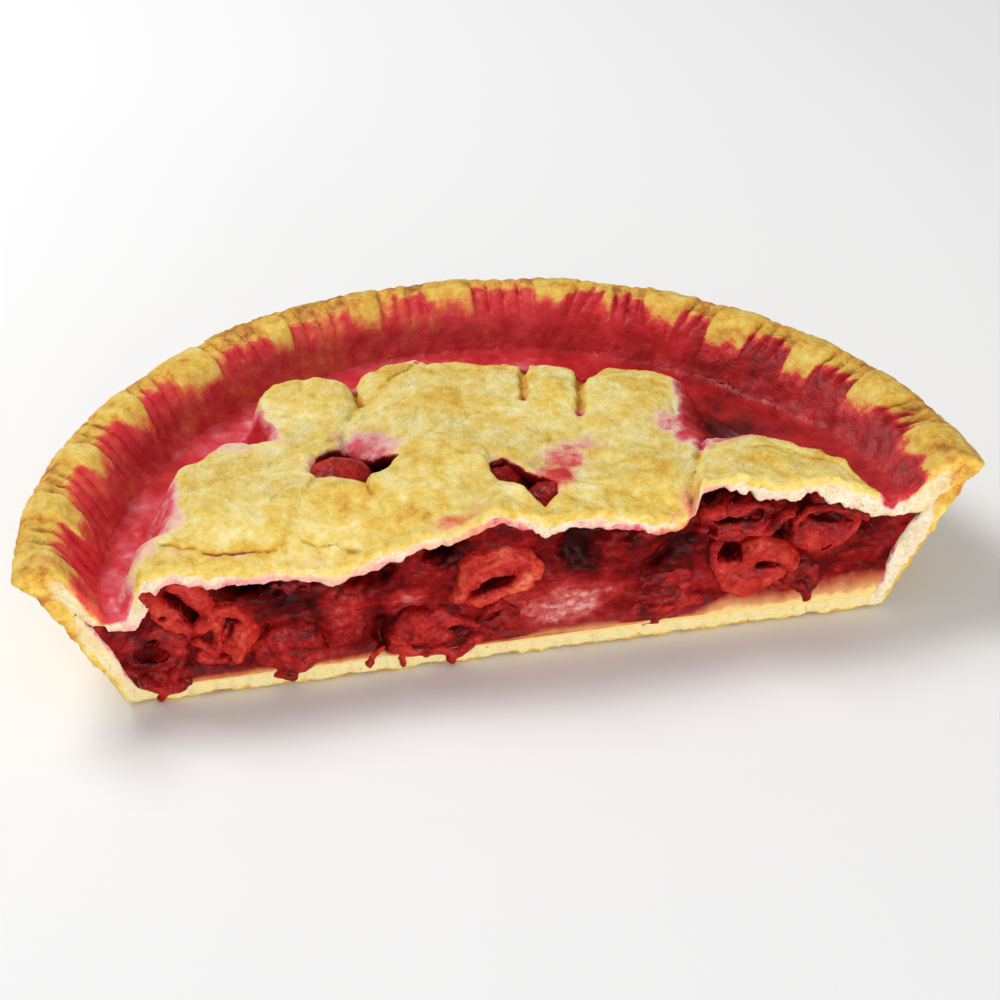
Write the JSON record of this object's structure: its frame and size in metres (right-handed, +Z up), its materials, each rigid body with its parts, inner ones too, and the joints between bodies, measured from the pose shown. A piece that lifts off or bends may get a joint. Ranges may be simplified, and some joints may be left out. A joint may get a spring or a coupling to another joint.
{
  "type": "half cherry pie",
  "caption": "Half of a baked two-crust cherry pie, cut straight through the middle, with its filling and cherries showing at the cut and through vents in the lid.",
  "frame": {"origin": "centre of the bounding box's underside, on the plane the pie stands on, 58.2 mm behind the cut's plane", "axes": "+X along the cut, towards the right seen from the cut side; +Y away from the cut, towards the round back; +Z up"},
  "size_m": [0.242, 0.1256, 0.0468],
  "materials": {
    "baked_crust": "baked shortcrust pastry, golden on top and cream at the cut, dry and slightly bumpy",
    "cherry_gel": "set cherry filling, dark red, wet and glossy",
    "cherry_flesh": "cooked pitted cherries, orange-red to dark red, wet",
    "cherry_juice": "bubbled-over cherry juice, bright red and smooth"
  },
  "bodies": {
    "root": {"bottom_crust": "baked_crust", "top_crust": "baked_crust", "filling": "cherry_gel", "moat_juice": "cherry_juice", "cherry_01": "cherry_flesh", "cherry_02": "cherry_flesh", "cherry_03": "cherry_flesh", "cherry_04": "cherry_flesh", "cherry_05": "cherry_flesh", "cherry_06": "cherry_flesh", "cherry_07": "cherry_flesh", "cherry_08": "cherry_flesh", "cherry_09": "cherry_flesh", "cherry_10": "cherry_flesh", "cherry_11": "cherry_flesh", "cherry_12": "cherry_flesh", "cherry_13": "cherry_flesh", "cherry_14": "cherry_flesh", "cherry_15": "cherry_flesh", "cherry_16": "cherry_flesh", "cherry_17": "cherry_flesh", "cherry_18": "cherry_flesh", "cherry_19": "cherry_flesh"}
  },
  "joints": []
}
